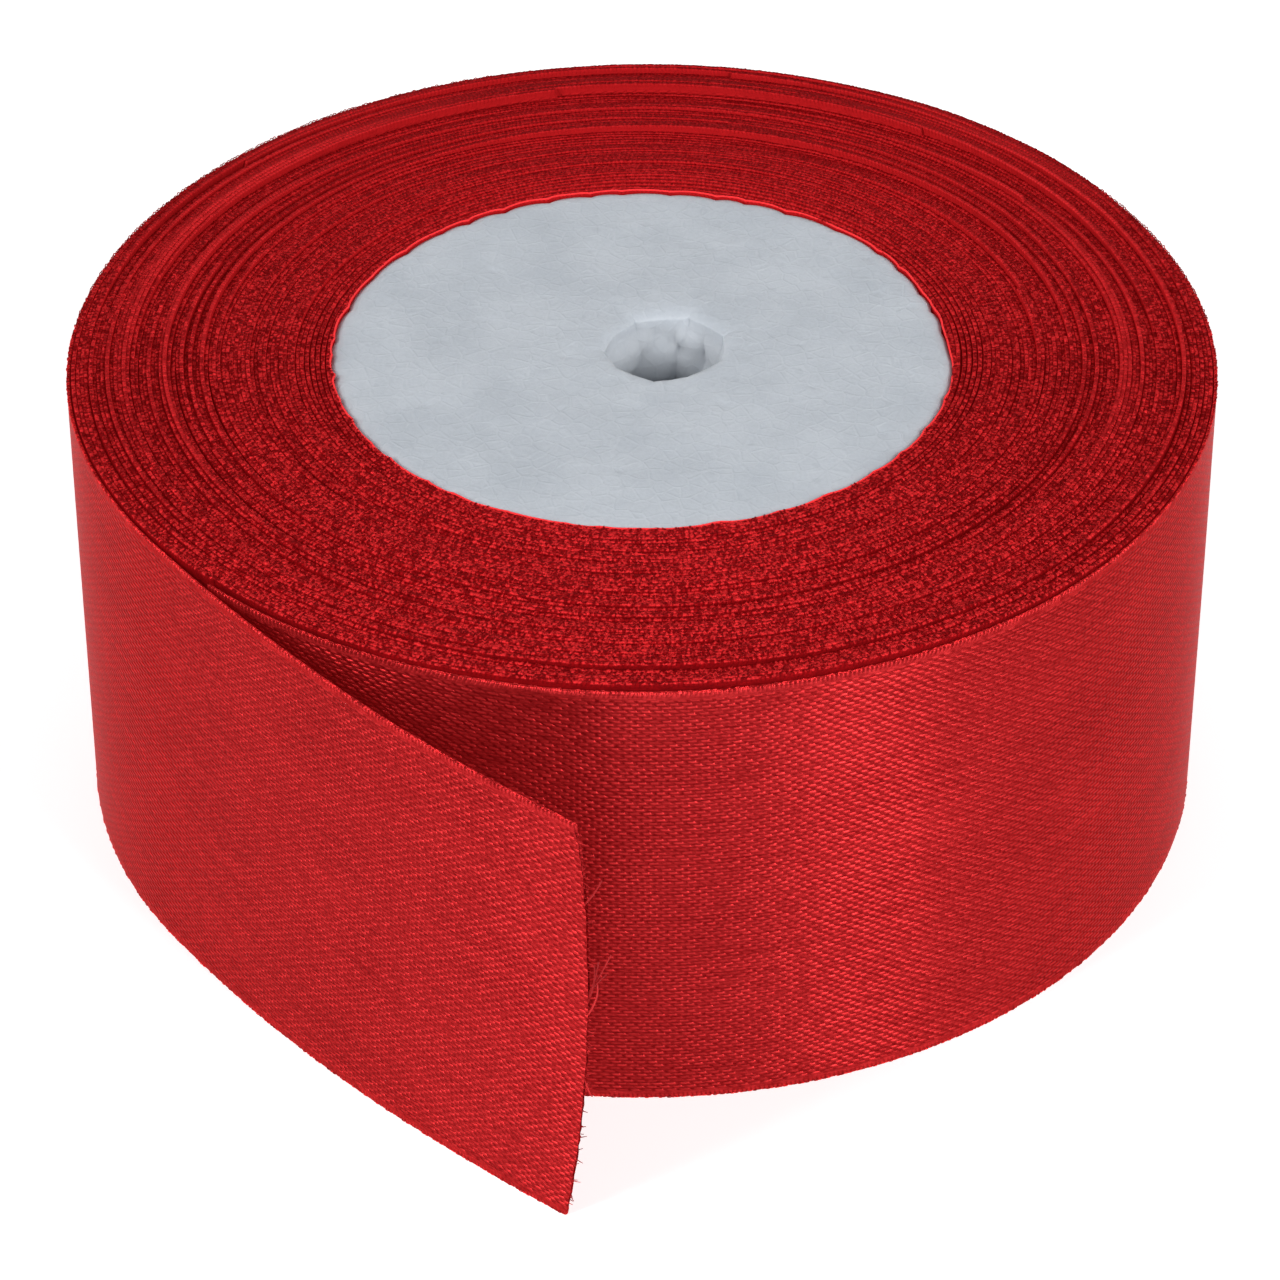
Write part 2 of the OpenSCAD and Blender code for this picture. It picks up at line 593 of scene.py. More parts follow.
@dataclass(frozen=True)
class TapeFinish:
    """Yellowed double-sided tape, with fine wrinkles and patches of dust."""

    name: str = "tape_amber"
    body: Colour = (0.62, 0.50, 0.30)
    dust: Colour = (0.45, 0.38, 0.26)

    def material(self) -> bpy.types.Material:
        """The finish as a material."""
        shader = Shader(self.name)
        place = shader.position()
        wrinkles = shader.noise(place, 900.0, 4.0)
        dust = shader.noise(place, 3500.0, 2.0).rise(0.55, 0.75)
        shader.dress(Base_Color=shader.mix(dust, self.body, self.dust), Roughness=0.25 + dust * 0.35)
        shader.bump(wrinkles, 0.05 * MM)
        return shader.material


@dataclass(frozen=True)
class FloorFinish:
    """A plain pale table."""

    name: str = "table_pale"
    colour: Colour = (0.80, 0.80, 0.80)
    glow: float = 0.53

    def material(self) -> bpy.types.Material:
        """The finish as a material."""
        shader = Shader(self.name)
        shader.dress(Base_Color=self.colour, Roughness=0.7, Emission_Color=(1.0, 1.0, 1.0),
                     Emission_Strength=self.glow)
        return shader.material


class Slot(Enum):
    """The record's material slots."""

    SATIN = "satin"
    FOAM = "foam"


# ---------------------------------------------------------------- what the frame gives

@dataclass(frozen=True)
class RollPlan:
    """Sizes and places that the pieces share, read from the CAD frame."""

    centre: Array
    width: float
    core_radius: float
    core_height: float
    bore_radius: float
    first_radius: float
    windings_radius: float
    bend_radius: float
    peel_angle: float
    tail_radius: float
    flex_length: float

    @classmethod
    def from_frame(cls, frame: dict) -> "RollPlan":
        """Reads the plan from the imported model.

        The tail's own radius comes from the two hinge points: a chord that leaves the tangent by an
        angle belongs to a circle of radius chord / (2 sin angle).
        """
        places = {joint["name"]: np.array(joint["pos_m"][:2], float) for joint in frame["joints"]}
        centre, peel, flex = places["unwind"], places["tail_peel"], places["tail_flex"]
        core_low, core_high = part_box("foam_core")
        band_low, band_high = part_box("winding_band_8")
        bore = next(m for m in frame["record"]["mounts"] if m["name"] == "spindle_bore")
        spoke = peel - centre
        heading = np.array([-spoke[1], spoke[0]]) / np.linalg.norm(spoke)
        chord = flex - peel
        angle = math.acos(float(np.clip(chord @ heading / np.linalg.norm(chord), -1.0, 1.0)))
        tail_radius = float(np.linalg.norm(chord) / (2.0 * math.sin(angle)))
        core_radius = (core_high.x - core_low.x) / 2.0
        return cls(
            centre=centre,
            width=band_high.z - band_low.z,
            core_radius=core_radius,
            core_height=core_high.z,
            bore_radius=bore["dims"]["r_mm"] * MM,
            first_radius=core_radius + 0.1 * MM,
            windings_radius=(band_high.x - band_low.x) / 2.0,
            bend_radius=float(np.linalg.norm(spoke)),
            peel_angle=math.atan2(spoke[1], spoke[0]),
            tail_radius=tail_radius,
            flex_length=2.0 * angle * tail_radius,
        )

    def at(self, radius: Array, angle: Array) -> Array:
        """Plan positions at a radius and an angle round the roll's own centre."""
        return np.stack([self.centre[0] + radius * np.cos(angle),
                         self.centre[1] + radius * np.sin(angle)], axis=-1)


# ---------------------------------------------------------------- the tight windings

@dataclass(frozen=True)
class Gap:
    """A thin gap between two laps at their upper edge: its radius, where it opens, and how wide."""

    radius_share: float
    from_angle: float
    to_angle: float
    width: float = 0.11 * MM


@dataclass(frozen=True)
class Crest:
    """A lap or two standing proud all the way round, most of all on the left and on the right."""

    radius_share: float
    rise: float
    width: float


@dataclass(frozen=True)
class Ridge:
    """A step up between laps, seen as a smooth wall. Laps outside it sink back over its fall."""

    radius_share: float
    rise: float
    fall: float
    angle: float
    spread: float
    wander: float = 0.5 * MM


GAPS = (
    Gap(0.886, -47.0, -24.0),
    Gap(0.681, -101.0, -86.0, 0.16 * MM),
    Gap(0.681, -152.0, -132.0, 0.15 * MM),
    Gap(0.742, -66.0, -42.0),
    Gap(0.818, -178.0, -128.0, 0.14 * MM),
    Gap(0.760, -176.0, -140.0, 0.12 * MM),
)
CRESTS = (
    Crest(0.968, 0.30 * MM, 0.10 * MM),
    Crest(0.939, 0.38 * MM, 0.13 * MM),
    Crest(0.898, 0.20 * MM, 0.10 * MM),
    Crest(0.866, 0.28 * MM, 0.11 * MM),
    Crest(0.836, 0.44 * MM, 0.24 * MM),
    Crest(0.791, 0.24 * MM, 0.10 * MM),
    Crest(0.770, 0.30 * MM, 0.11 * MM),
    Crest(0.745, 0.18 * MM, 0.10 * MM),
    Crest(0.694, 0.24 * MM, 0.14 * MM),
    Crest(0.636, 0.14 * MM, 0.10 * MM),
)
RIDGES = (
    Ridge(0.742, 0.45 * MM, 1.1 * MM, 80.0, 70.0),
    Ridge(0.893, 0.55 * MM, 1.3 * MM, 95.0, 75.0),
    Ridge(0.958, 0.40 * MM, 0.9 * MM, 100.0, 80.0),
    Ridge(0.800, 0.40 * MM, 0.4 * MM, 175.0, 50.0),
    Ridge(0.905, 0.30 * MM, 0.6 * MM, -170.0, 60.0),
    Ridge(0.930, 0.25 * MM, 0.4 * MM, -75.0, 55.0),
    Ridge(0.690, 0.25 * MM, 1.5 * MM, 20.0, 50.0),
    Ridge(0.840, 0.30 * MM, 0.8 * MM, 10.0, 45.0),
)


@dataclass
class Windings:
    """The laps that are wound tight on the core: one spiral of ribbon, in eight pieces."""

    plan: RollPlan
    finish: bpy.types.Material
    cord: bpy.types.Material
    rim: Callable[[Array], Array]
    laps: int = 62
    bands: int = 8
    thickness: float = 0.204 * MM
    start_angle: float = math.radians(-7.0)
    station_step: float = 0.115 * MM
    crown: float = 0.06 * MM
    lean_height: float = 1.3 * MM
    most_lean: float = 0.35 * MM
    leaning_laps: float = 8.0
    ragged: float = 0.035 * MM
    closed_up: float = 0.030 * MM
    seed: int = 700

    def __post_init__(self) -> None:
        """Works out the spiral: its first radius, its pitch and its number of turns."""
        self.seam_angle = self.plan.peel_angle + math.radians(10.0)
        self.part_turn = (self.seam_angle - self.start_angle) / (2.0 * math.pi)
        self.turns = self.laps + self.part_turn
        self.start_radius = self.plan.first_radius + self.thickness / 2.0
        reach = self.plan.windings_radius - self.plan.first_radius - self.thickness
        self.pitch = reach / self.turns

    def length_at(self, turn: float) -> float:
        """Length of a spiral from its start: the mean radius times the angle turned."""
        return 2.0 * math.pi * (self.start_radius * turn + self.pitch * turn * turn / 2.0)

    def turn_at(self, length: Array) -> Array:
        """The turn reached after a length of ribbon, which is length_at turned round."""
        square = self.start_radius ** 2 + self.pitch * length / math.pi
        return (np.sqrt(square) - self.start_radius) / self.pitch

    def seams(self) -> list[float]:
        """The turns at which one piece ends and the next starts."""
        ends = [round(self.laps * (k + 1) / self.bands) + self.part_turn for k in range(self.bands)]
        return [0.0] + ends

    def lift(self, radius: Array, angle: Array, turn: Array) -> Array:
        """How far a lap stands above the rest face.

        Broad waves over radius and angle, finer ones a few laps wide, the ridges' sawtooth steps and a
        slow wander of each lap's own are summed and kept at or above 0.
        """
        out = radius / MM
        broad = ring_noise(out / 1.7, angle, 5, 11) * 0.10
        fine = ring_noise(out / 0.46 + 0.8 * np.sin(angle), angle, 9, 23) * 0.10
        lap = line_noise(turn * 7.0, 31) * 0.05 + line_noise(turn * 61.0, 37) * 0.02
        total = (0.17 + broad + fine + lap) * smooth_step(16.4, 17.8, out) * MM
        sides = 0.30 + 0.70 * np.cos(angle) ** 2
        drift = 1.0 + 0.004 * np.cos(angle) + 0.002 * np.sin(3.0 * angle)
        for crest in CRESTS:
            beyond = (radius - crest.radius_share * self.plan.bend_radius * drift) / crest.width
            total = total + crest.rise * sides * np.exp(-beyond * beyond)
        for number, ridge in enumerate(RIDGES):
            away = wrapped(angle - math.radians(ridge.angle)) / math.radians(ridge.spread)
            strength = np.exp(-away * away)
            where = ridge.radius_share * self.plan.bend_radius
            where = where + ridge.wander * np.sin(angle * 1.0 + number * 2.1) * 0.5
            beyond = radius - where
            step = ridge.rise * strength * np.exp(-np.abs(beyond) / ridge.fall)
            total = total + np.where(beyond > 0.0, step, 0.0)
        rim = smooth_step(28.3, 29.6, out)
        front = np.exp(-(wrapped(angle + math.radians(89.0)) / 1.0) ** 2)
        total = total + rim * (front * 0.20 - 0.06 * (1.0 - front)) * MM
        return np.clip(total, 0.0, 0.75 * MM)

    def wander(self, turn: Array) -> Array:
        """How far laps lie in or out of the even spiral: a slow and a quick unevenness."""
        return line_noise(turn * 41.0, 47) * 0.012 * MM + line_noise(turn * 9.0, 53) * 0.022 * MM

    def opening(self, angle: Array, turn: Array) -> Array:
        """How far the gaps push laps in or out at their upper edge. They still touch at their foot."""
        total = np.zeros(np.shape(turn))
        lap = np.floor(turn + (math.pi + self.start_angle) / (2.0 * math.pi))
        for gap in GAPS:
            middle = (gap.radius_share * self.plan.bend_radius - self.start_radius) / self.pitch
            middle = math.floor(middle) + 0.5
            low, high = math.radians(gap.from_angle), math.radians(gap.to_angle)
            share = np.clip((wrapped(angle) - low) / (high - low), 0.0, 1.0)
            opening = np.sin(share * math.pi) ** 0.7
            side = lap - middle
            total = total + np.sign(side) * gap.width / 2.0 * opening * np.exp(-np.abs(side) / 3.0)
        return total

    def lean(self, angle: Array, turn: Array) -> Array:
        """How far the first laps' upper edges lean in. The first lies against the foam's rim."""
        normal = self.start_radius + self.pitch * turn
        against = self.rim(angle) + self.thickness / 2.0
        fading = 1.0 - smooth_step(0.5, self.leaning_laps, turn)
        return np.clip(normal - against, 0.0, self.most_lean) * fading

    def build_band(self, index: int) -> tuple[bpy.types.Object, float]:
        """Builds one piece of the spiral.

        Args:
            index: The piece, counted from the core, from 0.

        Returns:
            The piece, and the length of ribbon in it.
        """
        low, high = self.seams()[index:index + 2]
        step = self.station_step
        first, last = (round(self.length_at(turn) / step) for turn in (low, high))
        number = np.arange(first, last + 1)
        length = number * step
        turn = self.turn_at(length)
        angle = self.start_angle + 2.0 * math.pi * turn
        base = self.start_radius + self.pitch * turn
        # The outer laps close up on the loose lap, which lies round a true circle.
        left = (self.turns - turn) % 1.0
        closing = left * smooth_step(0.0, 0.07, 1.0 - left)
        closing = closing * smooth_step(self.turns - 9.0, self.turns - 0.5, turn)
        base = base + self.pitch * closing
        lifted = self.lift(base, angle, turn)

        half = self.thickness / 2.0
        marks = [0.0, self.plan.width - self.crown, self.plan.width]
        halves = [half * 0.6, half, half * 0.80]
        if index == 0:
            marks.insert(1, self.plan.width - self.lean_height)
            halves.insert(1, half)
        mark = np.array(marks)
        height = lifted[:, None] + mark[None, :]
        random = np.random.default_rng(self.seed + index)
        zigzag = np.where(number % 2 == 0, 1.0, -1.0)
        # The loops are pressed flat at the back, and stand up most of all in front.
        lively = 1.0 - 0.7 * np.exp(-(wrapped(angle - math.radians(90.0)) / 1.1) ** 2)
        tooth = zigzag * (0.022 + 0.016 * line_noise(number / 5.0, 61)) * MM
        tooth = tooth + random.uniform(-1.0, 1.0, len(number)) * 0.040 * MM
        tooth = tooth + np.where(random.random(len(number)) > 0.985, 0.07, 0.0) * MM
        tooth = tooth * lively
        height[:, -1] += tooth
        height[:, 0] += np.clip(tooth, 0.0, None)
        radius = (base + self.wander(turn))[:, None] + self.opening(angle, turn)[:, None] * (mark > 0.0)
        # The outermost lap's upper edge closes the gap to the loose lap, which turns round it.
        outermost = smooth_step(self.turns - 1.2, self.turns - 0.9, turn)
        ragged = random.uniform(-1.0, 1.0, len(number)) * self.ragged
        radius[:, -1] += ragged * lively * (1.0 - outermost)
        radius[:, -2:] += (outermost * self.closed_up)[:, None]
        if index == 0:
            radius[:, -2:] -= self.lean(angle, turn)[:, None]
        middle = self.plan.at(radius, angle[:, None])
        outward = np.stack([np.cos(angle), np.sin(angle)], axis=-1)
        shell = Shell()
        add_ribbon(shell, middle, outward, height, np.array(halves),
                   np.repeat(length[:, None], len(mark), axis=1), mark)
        piece = shell.make(f"windings_{index + 1}", self.finish)
        return piece, float(length[-1] - length[0])

    def build_first_edge(self) -> bpy.types.Object:
        """Builds the first lap's selvedge cord. It is painted bright red all over: a painted highlight
        that shows as a bright line round the foam, standing for the lit edge and light scattered in the
        foam.
        """
        turn = np.linspace(0.004, 0.996, 1400)
        angle = self.start_angle + 2.0 * math.pi * turn
        radius = self.start_radius + self.pitch * turn - self.lean(angle, turn) + self.wander(turn)
        radius = radius - self.thickness * 0.30 + line_noise(turn * 90.0, 113) * 0.02 * MM
        level = self.plan.width + line_noise(turn * 120.0, 127) * 0.03 * MM
        line = np.column_stack([self.plan.at(radius, angle), level])
        marks = np.array([[1.0, self.plan.width / MM]])
        shell = Shell()
        add_threads(shell, line[None], np.full(len(turn), 0.055 * MM), 6, marks)
        piece = shell.make("first_edge", self.cord)
        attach(piece, "roll")
        return piece

    def build(self) -> None:
        """Builds all pieces, hangs them on the roll and hides the frame's bands."""
        for index in range(self.bands):
            piece, length = self.build_band(index)
            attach(piece, "roll")
            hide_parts(f"winding_band_{index + 1}")
            extra = [self.build_first_edge()] if index == 0 else []
            LOG.info("%s: %.0f mm of ribbon", piece.name, length / MM)


# ---------------------------------------------------------------- the last lap and the tail

@dataclass
class FreeRibbon:
    """The loose last lap and the tail, on one line: s is the length past the peel line."""

    plan: RollPlan
    finish: bpy.types.Material
    thread: bpy.types.Material
    thickness: float = 0.176 * MM
    start_gap: float = math.radians(10.0)
    tail_start: float = -4.0 * MM
    tail_split: float = 7.9 * MM
    tail_reach: float = 32.0 * MM
    wall_rows: int = 24
    tail_rows: int = 60
    lean: float = 0.86 * MM
    loop_pitch: float = 0.23 * MM
    lap_step: float = 0.25 * MM
    tail_step: float = 0.15 * MM
    peel_bend: float = 3.5 * MM
    flex_bend: float = 4.0 * MM
    fuzz: int = 90

    def line(self, length: Array, height: Array) -> tuple[Array, Array]:
        """The ribbon's middle surface.

        Up to the peel line it lies round the roll. Past it, it goes on along its own wider circle,
        and its upper edge leans out with the square of the distance.

        Args:
            length: s of each point.
            height: Height of each point on the ribbon.

        Returns:
            Plan positions, and unit directions to the satin face.
        """
        plan = self.plan
        on_roll = plan.peel_angle + length / plan.bend_radius
        on_tail = plan.peel_angle + length / plan.tail_radius
        free = length > 0.0
        angle = np.where(free, on_tail, on_roll)
        far = plan.bend_radius - plan.tail_radius
        hub = plan.centre + far * np.array([math.cos(plan.peel_angle), math.sin(plan.peel_angle)])
        radius = np.where(free, plan.tail_radius, plan.bend_radius)
        out = np.stack([np.cos(angle), np.sin(angle)], axis=-1)
        start = np.where(free[..., None], hub, plan.centre)
        gone = np.clip(length, 0.0, None) / (32.0 * MM)
        offset = self.lean * (height / plan.width - 0.5) * gone ** 2
        ripple = line_noise(length / (6.0 * MM) + 40.0, 71) * 0.05 * MM
        upper = smooth_step(0.55, 1.0, height / plan.width)
        on_lap = smooth_step(0.0, 1.0, -length / (4.0 * MM))
        offset = offset + (ripple * 0.4 - 0.03 * MM) * upper * on_lap
        sway = line_noise(length / (11.0 * MM) + height / (19.0 * MM), 73) * 0.10 * MM
        offset = offset + sway * smooth_step(0.2, 1.0, gone)
        return start + out * (radius + offset)[..., None], out

    def cut_edge(self, height: Array) -> Array:
        """s of the scissor cut: slanting back below the middle, and a little rounded at the top."""
        up = height / MM
        below = np.clip(1.0 - up / 17.3, 0.0, None)
        above = np.clip((up - 17.3) / 8.0, 0.0, None)
        return self.tail_reach - (1.8 * below ** 2 + 0.53 * above ** 4) * MM

    def stretch(self, name: str, low: float, high: float | None, step: float,
                rows: int) -> bpy.types.Object:
        """Builds one length of the ribbon, with the loops along its edges.

        Args:
            name: The piece's name.
            low: s where it starts.
            high: s where it ends, or None for the scissor cut.
            step: Length between stations.
            rows: Rows up the ribbon.

        Returns:
            The piece.
        """
        half = self.thickness / 2.0
        mark = np.concatenate([[0.0, 0.05], np.linspace(0.45, self.plan.width / MM - 0.45, rows),
                               [self.plan.width / MM - 0.05, self.plan.width / MM]]) * MM
        halves = np.full(len(mark), half)
        halves[[0, -1]] *= 0.45
        reach = self.cut_edge(mark) if high is None else np.full(len(mark), high)
        stations = int(round((reach.max() - low) / step)) + 1
        # A hair's breadth of ribbon at each end keeps the end cap out of the smoothed light.
        share = np.linspace(0.0, 1.0, stations)
        hair = 0.01 * MM / (reach.max() - low)
        share = np.concatenate([[0.0, hair], share[1:-1], [1.0 - hair, 1.0]])[:, None]
        length = low + share * (reach[None, :] - low)
        if high is None:
            random = np.random.default_rng(89)
            ragged = random.uniform(-1.0, 1.0, len(mark)) * 0.05 * MM
            length = length + ragged[None, :] * smooth_step(0.97, 1.0, share)
        height = np.broadcast_to(mark[None, :], length.shape).copy()
        height[:, -1] += line_noise(length[:, -1] / self.loop_pitch * 2.0, 79) * 0.02 * MM
        middle, outward = self.line(length, height)
        shell = Shell()
        add_ribbon(shell, middle, outward[:, len(mark) // 2], height, halves, length, mark)
        self.add_loops(shell, low, self.plan.width, 1.0, 83, high)
        self.add_loops(shell, low, 0.03 * MM, 0.0, 97, high)
        return shell.make(name, self.finish)

    def add_loops(self, shell: Shell, low: float, level: float, rise: float, seed: int,
                  high: float | None) -> None:
        """Adds the weft's small loops along one edge.

        A loop is half an ellipse: it goes along the ribbon with the cosine of a half turn and up, or
        out, with its sine.

        Args:
            shell: What they are added to.
            low: s where the edge starts.
            level: Height of the edge.
            rise: 1 where loops stand up from the edge, 0 where they only bulge out.
            seed: Which random sizes they take.
            high: s where the edge ends, or None for the scissor cut.
        """
        end = float(self.cut_edge(np.array([level]))[0]) if high is None else high
        count = max(int((end - low) / self.loop_pitch), 1)
        random = np.random.default_rng(seed + count)
        at = low + (np.arange(count) + 0.5) * (end - low) / count
        at = at + random.uniform(-0.2, 0.2, count) * self.loop_pitch
        phase = np.linspace(0.0, math.pi, 6)
        half = self.loop_pitch * random.uniform(0.42, 0.60, count)
        tall = random.uniform(0.03, 0.12, count) * MM * rise
        bulge = random.uniform(-0.01, 0.06, count) * MM
        along = at[:, None] + half[:, None] * np.cos(phase)[None, :]
        along = np.minimum(along, end)
        up = level - 0.02 * MM * rise + tall[:, None] * np.sin(phase)[None, :]
        middle, outward = self.line(along, np.broadcast_to(up, along.shape))
        push = (bulge[:, None] * np.sin(phase)[None, :] + 0.05 * MM)[..., None]
        lines = np.dstack([middle + outward * push, up])
        radius = np.full(len(phase), 0.034 * MM)
        radius[[0, -1]] *= 0.5
        marks = np.stack([at / MM, np.full(count, self.plan.width / MM)], axis=-1)
        add_threads(shell, lines, radius, 3, marks)

    def build_cut_threads(self) -> bpy.types.Object:
        """Builds the frayed threads at the cut: a few long ones, and short fuzz all along it."""
        long_threads = (
            # s and height where it leaves the cut, s and height where it ends, and its bow; millimetres
            (31.7, 20.4, 32.9, 22.6, 0.25),
            (31.9, 14.6, 32.5, 17.4, 0.30),
            (31.9, 14.8, 32.8, 17.8, 0.15),
            (31.9, 15.0, 33.2, 18.1, 0.05),
            (31.9, 15.2, 33.0, 16.9, -0.15),
            (31.9, 13.9, 32.6, 16.2, 0.40),
            (31.7, 9.5, 32.0, 8.7, -0.10),
        )
        random = np.random.default_rng(101)
        fuzz_height = random.uniform(0.3, 25.0, self.fuzz)
        fuzz_from = self.cut_edge(fuzz_height * MM) / MM - 0.1
        fuzz_to = fuzz_from + random.uniform(0.15, 0.42, self.fuzz)
        fuzz_end = fuzz_height + random.uniform(-0.25, 0.25, self.fuzz)
        fuzz_bow = random.uniform(-0.1, 0.1, self.fuzz)
        fuzz = np.stack([fuzz_from, fuzz_height, fuzz_to, fuzz_end, fuzz_bow], axis=-1)
        rows = np.concatenate([np.array(long_threads), fuzz])
        share = np.linspace(0.0, 1.0, 7)[None, :]
        s = (rows[:, 0:1] + (rows[:, 2:3] - rows[:, 0:1]) * share) * MM
        bow = rows[:, 4:5] * np.sin(share * math.pi)
        up = (rows[:, 1:2] + (rows[:, 3:4] - rows[:, 1:2]) * share + bow * 0.3) * MM
        s = s + bow * 0.5 * MM
        middle, outward = self.line(s, up)
        side = random.uniform(-0.5, 0.5, len(rows))[:, None] * share ** 1.5 * 0.5 * MM
        lines = np.dstack([middle + outward * side[..., None], up])
        marks = np.stack([rows[:, 0], rows[:, 1]], axis=-1)
        shell = Shell()
        few = len(long_threads)
        add_threads(shell, lines[:few], np.linspace(0.060, 0.034, share.shape[1]) * MM, 5, marks[:few])
        add_threads(shell, lines[few:], np.linspace(0.036, 0.016, share.shape[1]) * MM, 4, marks[few:])
        piece = shell.make("cut_threads", self.thread)
        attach(piece, "tail_end")
        return piece

    def declare(self, piece: bpy.types.Object, node: str, length: float) -> None:
        """Hides the node that a piece stands for, and logs the length of ribbon in the piece."""
        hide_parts(node)
        LOG.info("%s: %.1f mm of ribbon", piece.name, length / MM)

    def point(self, length: float) -> tuple[float, float, float]:
        """The middle of the ribbon at a distance past the peel line."""
        plan_point, _ = self.line(np.array([length]), np.array([self.plan.width / 2.0]))
        return (float(plan_point[0, 0]), float(plan_point[0, 1]), self.plan.width / 2.0)

    def build(self) -> None:
        around = 2.0 * math.pi - self.start_gap
        lap_start = -around * self.plan.bend_radius
        lap = self.stretch("last_lap_strip", lap_start, self.tail_start, self.lap_step, self.wall_rows)
        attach(lap, "last_lap")
        self.declare(lap, "outer_lap", self.tail_start - lap_start)

        root = self.stretch("tail_root_strip", self.tail_start, self.tail_split, self.tail_step,
                            self.tail_rows)
        self.point(0.0)
        self.point(self.peel_bend)
        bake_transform(root)
        self.declare(root, "tail_root", self.tail_split - self.tail_start)

        threads = self.build_cut_threads()
        end = self.stretch("tail_end_strip", self.tail_split, None, self.tail_step, self.tail_rows)
        bend = self.plan.flex_length
        self.point(bend - 0.5 * MM)
        self.point(bend + self.flex_bend)
        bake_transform(end)
        self.declare(end, "tail_end", self.tail_reach - self.tail_split)


# ---------------------------------------------------------------- the foam disc

@dataclass
class FoamDisc:
    """The foam core: a lobed rim, a softly dented top and a ragged hole with torn cells in its wall."""

    plan: RollPlan
    finish: bpy.types.Material
    around: int = 630
    lobe_depth: float = 0.20 * MM
    rim_round: float = 0.12 * MM
    pressed_out: float = 0.05 * MM
    pressed_in: float = 0.24 * MM
    proud: float = 0.12 * MM
    # Where the hole's edge is torn outwards, as angle and radius in millimetres, and how far the edge
    # sags in between the tears.
    tears: tuple[tuple[float, float], ...] = (
        (-177.0, 3.25), (-145.0, 3.16), (-101.0, 3.22), (-66.0, 2.92),
        (-20.0, 3.20), (24.0, 3.40), (69.0, 3.62), (118.0, 3.36))
    sag: float = 0.30 * MM
    # Cells that show at the back of the hole: angle, depth below the top and size in millimetres.
    cells: tuple[tuple[float, float, float], ...] = (
        (140.0, 1.9, 1.7), (62.0, 1.5, 0.75), (35.0, 1.9, 0.8), (15.0, 1.2, 0.7),
        (98.0, 2.9, 1.5), (66.0, 3.0, 1.2), (165.0, 3.2, 1.4), (40.0, 3.4, 1.1))
    small_cells: int = 240
    dents: int = 46
    hole_rings: int = 62
    face_rings: int = 60
    side_rings: int = 6
    foot_rings: int = 22

    def lobes(self, angle: Array) -> tuple[Array, Array]:
        """The rim's radius and its hollowness, 0 at the middle of a lobe and 1 at a notch between two.

        A lobe is a parabola between two notches, so the rim swells between sharp creases.
        """
        random = np.random.default_rng(211)
        notches = np.cumsum(random.uniform(0.09, 0.20, 64))
        notches = notches[notches < 2.0 * math.pi - 0.06]
        depth = random.uniform(0.25, 1.0, len(notches)) * self.lobe_depth
        turned = angle % (2.0 * math.pi)
        index = np.searchsorted(notches, turned) % len(notches)
        before = index - 1
        past_last = turned > notches[-1]
        around_end = np.where(past_last, notches[-1], notches[-1] - 2.0 * math.pi)
        low = np.where(index == 0, around_end, notches[before])
        high = np.where((index == 0) & past_last, notches[0] + 2.0 * math.pi, notches[index])
        share = (turned - low) / (high - low)
        hollow = (2.0 * share - 1.0) ** 2
        deep = np.where(share < 0.5, depth[before], depth[index])
        radius = self.plan.core_radius + self.pressed_out - deep * hollow ** 1.5
        # The first lap leans in over the foam on the right, where the rim is pressed in.
        right = wrapped(angle)
        pressed = smooth_step(-0.12, 0.05, right) * (1.0 - smooth_step(0.35, 0.75, right))
        return radius - pressed * self.pressed_in, hollow * deep / self.lobe_depth

    def hole_edge(self, angle: Array) -> Array:
        """The hole's radius at the top: straight between its tears, sagging in a little."""
        turned = np.degrees(wrapped(angle))
        angles = np.array([a for a, _ in self.tears])
        radii = np.array([r for _, r in self.tears]) * MM
        angles = np.concatenate([angles, [angles[0] + 360.0]])
        radii = np.concatenate([radii, [radii[0]]])
        turned = np.where(turned < angles[0], turned + 360.0, turned)
        index = np.clip(np.searchsorted(angles, turned, side="right") - 1, 0, len(self.tears) - 1)
        span = angles[index + 1] - angles[index]
        share = (turned - angles[index]) / span
        level = radii[index] * (1.0 - share) + radii[index + 1] * share
        arch = np.sqrt(np.clip(4.0 * share * (1.0 - share), 0.0, 1.0))
        return level - self.sag * (span / 50.0) * arch * 0.8

    def torn_cells(self, angle: Array, height: Array) -> Array:
        """How far torn cells bulge into the hole: round caps about random points on its wall."""
        random = np.random.default_rng(223)
        count = self.small_cells
        cells_angle = random.uniform(-math.pi, math.pi, count)
        cells_height = random.uniform(0.4, self.plan.core_height / MM - 0.4, count) * MM
        cells_size = random.uniform(0.45, 1.1, count) * MM
        bulge = np.zeros(np.broadcast(angle, height).shape)
        chosen = np.array(self.cells)
        cells_angle = np.concatenate([np.radians(chosen[:, 0]), cells_angle])
        cells_height = np.concatenate([self.plan.core_height - chosen[:, 1] * MM, cells_height])
        cells_size = np.concatenate([chosen[:, 2] * MM, cells_size])
        for a, h, size in zip(cells_angle, cells_height, cells_size):
            across = wrapped(angle - a) * self.plan.bore_radius
            far = (across ** 2 + (height - h) ** 2) / size ** 2
            bulge = np.maximum(bulge, 0.46 * size * np.clip(1.0 - far, 0.0, 1.0) ** 0.6)
        return bulge

